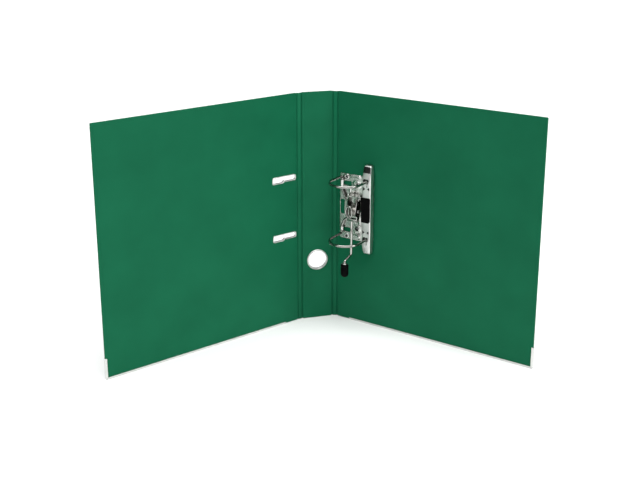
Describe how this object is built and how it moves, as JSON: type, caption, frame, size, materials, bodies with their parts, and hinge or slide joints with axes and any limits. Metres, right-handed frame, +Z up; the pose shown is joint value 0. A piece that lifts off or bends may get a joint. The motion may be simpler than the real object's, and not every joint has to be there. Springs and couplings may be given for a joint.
{
  "type": "lever arch file",
  "caption": "Lever arch file for A4 sheets: two hinged covers on a spine, a lever-operated ring mechanism, compressor bar, cover slots and finger hole.",
  "frame": {"origin": "centre of the spine's lower edge, on the surface the file stands on", "axes": "+Z up the file, +Y from the inside of the spine to its outside, +X towards the back cover, which carries the lever mechanism"},
  "size_m": [0.5129, 0.2211, 0.318],
  "materials": {
    "green_foil": "embossed green polypropylene foil, satin",
    "grey_board": "grey recycled board",
    "bright_trim": "bright nickel-plated sheet",
    "nickel_plate": "nickel-plated pressed steel",
    "polished_wire": "polished nickel-plated wire",
    "dark_steel": "turned dark steel",
    "black_plastic": "moulded black plastic",
    "label_paper": "blank paper label",
    "label_pocket": "clear film pocket"
  },
  "bodies": {
    "spine": {"spine_board": "grey_board", "spine_foil": "green_foil", "spine_lining": "green_foil", "finger_ring": "bright_trim", "finger_ring_washer": "bright_trim", "spine_label_pocket": "label_pocket", "spine_label": "label_paper", "front_hinge_strip": "green_foil", "back_hinge_strip": "green_foil"},
    "front_cover": {"front_board": "grey_board", "front_foil": "green_foil", "front_lining": "green_foil", "front_edge_protector": "bright_trim", "slot_eyelet_upper": "bright_trim", "slot_eyelet_lower": "bright_trim", "slot_backing_upper": "bright_trim", "slot_backing_lower": "bright_trim"},
    "back_cover": {"back_board": "grey_board", "back_foil": "green_foil", "back_lining": "green_foil", "back_edge_protector": "bright_trim", "base_plate": "nickel_plate", "rivet_spine_side_upper": "nickel_plate", "rivet_spine_side_lower": "nickel_plate", "rivet_leaf_side_upper": "nickel_plate", "rivet_leaf_side_lower": "nickel_plate", "post_upper": "polished_wire", "post_lower": "polished_wire", "lever_pivot_pin": "polished_wire"},
    "arches": {"arch_wire": "polished_wire"},
    "lever": {"lever_yoke": "nickel_plate", "lever_rod": "polished_wire", "lever_collar": "polished_wire", "lever_cap": "black_plastic", "roller_pin": "polished_wire"},
    "roller": {"roller": "dark_steel"},
    "compressor": {"compressor_bar": "nickel_plate", "compressor_grip": "black_plastic"}
  },
  "joints": [
    {"name": "front_cover_fold", "type": "hinge", "parent": "spine", "child": "front_cover", "pos_m": [-0.02443, -0.00211, 0], "axis": [0, 0, -1], "range_deg": [-68.2, 21.8]},
    {"name": "back_cover_fold", "type": "hinge", "parent": "spine", "child": "back_cover", "pos_m": [0.02415, -0.003, 0], "axis": [0, 0, 1], "range_deg": [-41.4, 48.6]},
    {"name": "lever_lift", "type": "hinge", "parent": "back_cover", "child": "lever", "pos_m": [0.04158, -0.03541, 0.1805], "axis": [-0.6613, 0.7501, 0], "range_deg": [0, 60]},
    {"name": "arch_open", "type": "hinge", "parent": "back_cover", "child": "arches", "pos_m": [0.03119, -0.01364, 0.165], "axis": [0, 0, -1], "range_deg": [0, 60]},
    {"name": "roller_spin", "type": "hinge", "parent": "lever", "child": "roller", "pos_m": [0.03956, -0.03719, 0.1625], "axis": [0.6613, -0.7501, 0], "continuous": true},
    {"name": "compressor_slide", "type": "slide", "parent": "back_cover", "child": "compressor", "axis": [-0.7501, -0.6613, 0], "range_m": [0, 0.022]}
  ],
  "couplings": [
    {"joint": "arch_open", "follows": "lever_lift", "ratio": 1}
  ]
}
